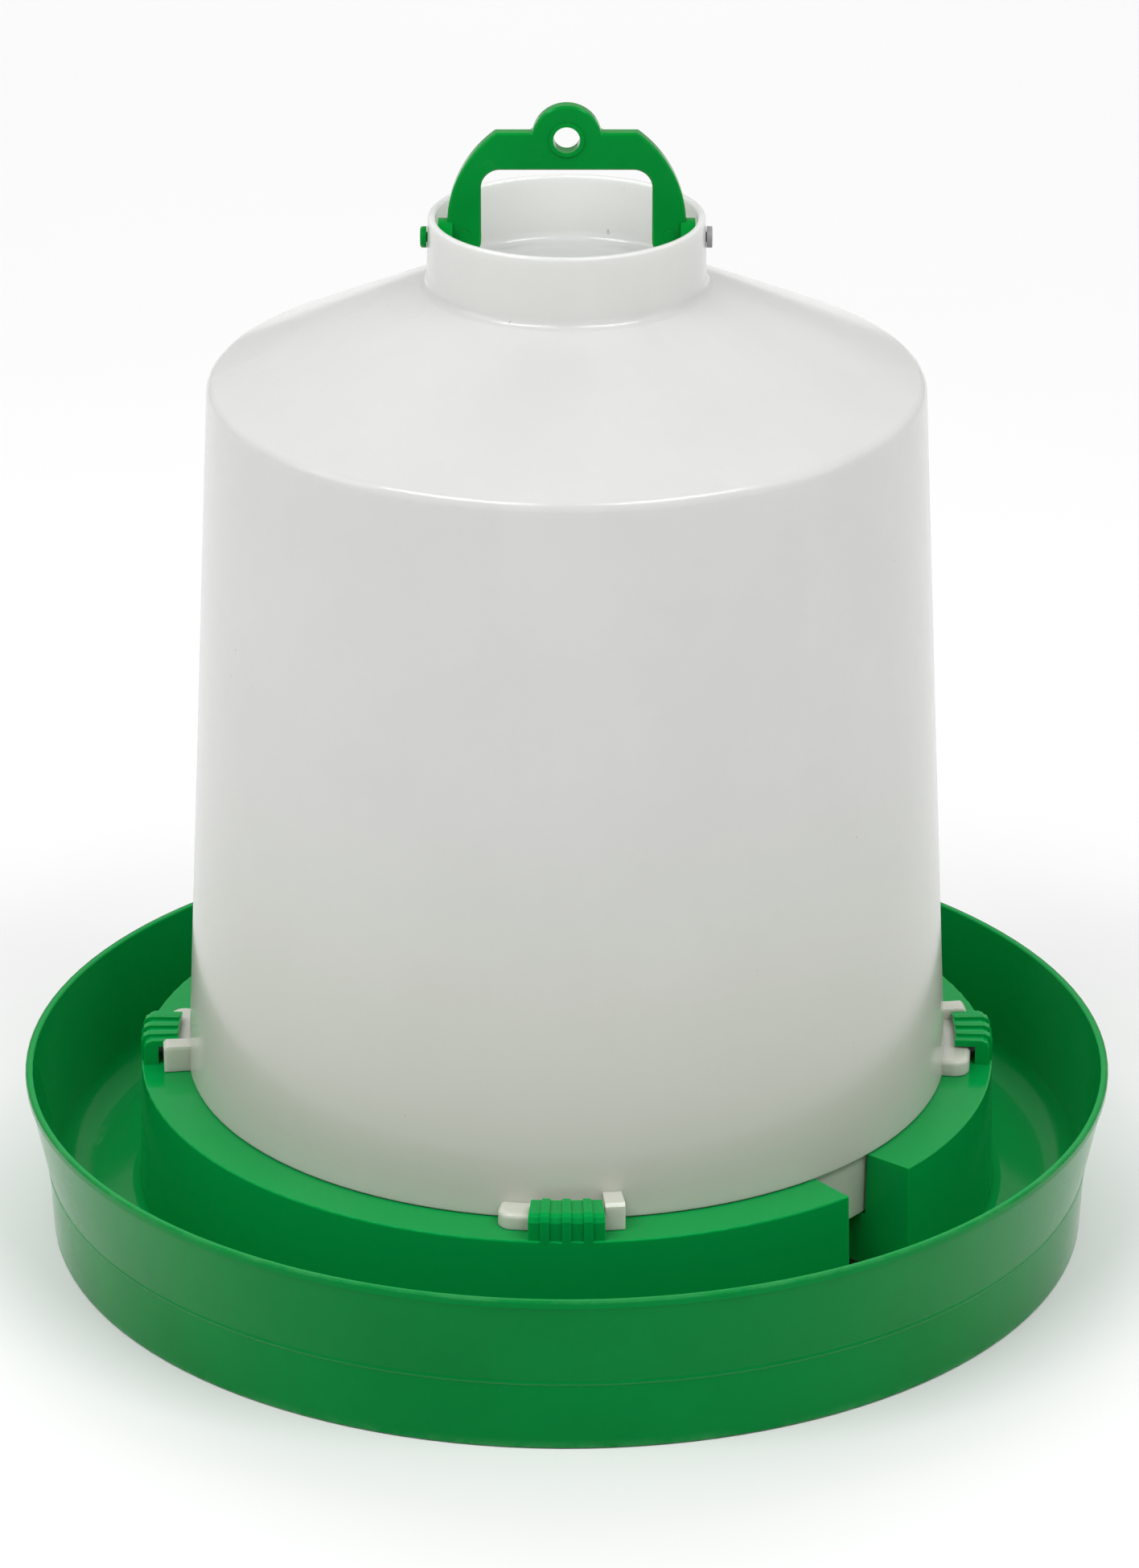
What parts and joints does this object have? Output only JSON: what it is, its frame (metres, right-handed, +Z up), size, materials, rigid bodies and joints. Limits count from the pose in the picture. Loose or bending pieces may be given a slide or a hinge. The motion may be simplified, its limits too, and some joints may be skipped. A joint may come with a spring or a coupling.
{
  "type": "poultry drinker",
  "caption": "Hanging poultry drinker: closed translucent fount with a bayonet foot, turned into a round drinking tray, under a folding carry handle.",
  "frame": {"origin": "centre of the circle that the tray stands on, at the standing surface", "axes": "+Z up along the drinker's round axis; X along the handle's hinge line; -Y towards the front hook"},
  "size_m": [0.36, 0.36, 0.3839],
  "materials": {
    "green_plastic": "gloss",
    "natural_plastic": "satin, translucent",
    "grey_plastic": "satin"
  },
  "bodies": {
    "tray": {"tray": "green_plastic"},
    "fount": {"fount": "natural_plastic"},
    "handle": {"handle": "green_plastic", "left_pivot_pin": "green_plastic", "right_pivot_pin": "grey_plastic"}
  },
  "joints": [
    {"name": "fount_turn", "type": "hinge", "parent": "tray", "child": "fount", "pos_m": [0, 0, 0.0565], "axis": [0, 0, 1], "range_deg": [0, 76]},
    {"name": "handle_swing", "type": "hinge", "parent": "fount", "child": "handle", "pos_m": [0, 0, 0.3402], "axis": [1, 0, 0], "range_deg": [-74, 74]}
  ]
}
